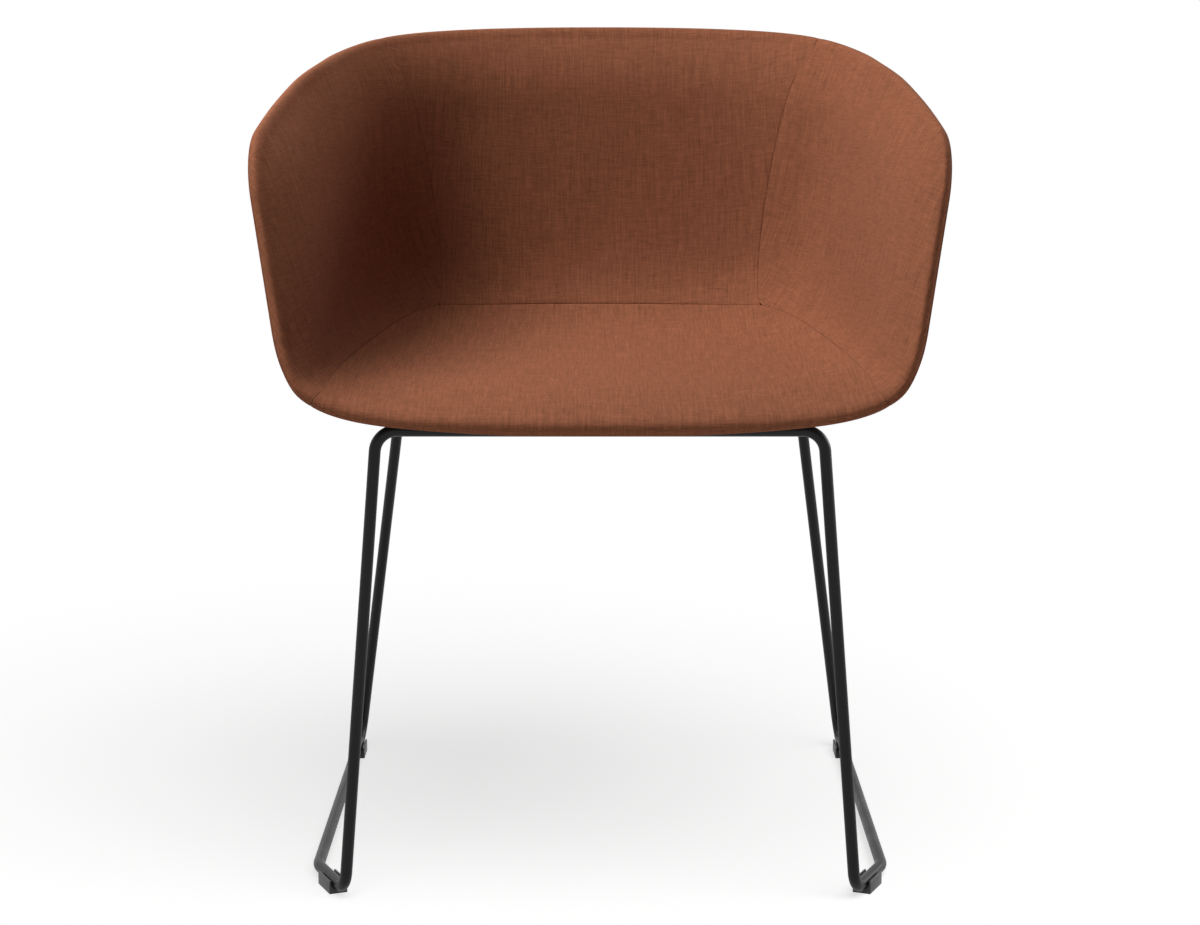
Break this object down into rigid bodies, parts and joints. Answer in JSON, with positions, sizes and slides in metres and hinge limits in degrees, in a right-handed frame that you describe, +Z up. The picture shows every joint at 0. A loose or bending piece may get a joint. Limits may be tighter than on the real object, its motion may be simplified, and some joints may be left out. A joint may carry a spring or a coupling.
{
  "type": "dining armchair",
  "caption": "Upholstered bucket dining armchair with sewn seat, back and arm panels on a bent steel rod sled base with plastic glides.",
  "frame": {"origin": "middle of the chair's footprint on the floor", "axes": "+Z up, the chair faces -Y, +X to its left hand side as seated, which is the viewer's right from the front"},
  "size_m": [0.6336, 0.5734, 0.7842],
  "materials": {
    "fabric": "plain weave melange upholstery cloth, rust brown",
    "foam": "open cell foam",
    "shell": "moulded, fine texture",
    "powder_coat": "black satin powder coat",
    "zinc": "zinc plated",
    "brass": "plain",
    "glide": "black moulded"
  },
  "bodies": {
    "root": {"back_cover": "fabric", "left_arm_cover": "fabric", "right_arm_cover": "fabric", "seat_cover": "fabric", "outer_back_cover": "fabric", "outer_left_cover": "fabric", "outer_right_cover": "fabric", "under_cover": "fabric", "back_foam": "foam", "left_arm_foam": "foam", "right_arm_foam": "foam", "seat_foam": "foam", "moulded_shell": "shell", "left_sled_rod": "powder_coat", "left_strap": "powder_coat", "right_sled_rod": "powder_coat", "right_strap": "powder_coat", "front_left_glide": "glide", "front_left_insert": "brass", "front_left_screw": "zinc", "front_right_glide": "glide", "front_right_insert": "brass", "front_right_screw": "zinc", "rear_left_glide": "glide", "rear_left_insert": "brass", "rear_left_screw": "zinc", "rear_right_glide": "glide", "rear_right_insert": "brass", "rear_right_screw": "zinc"}
  },
  "joints": []
}
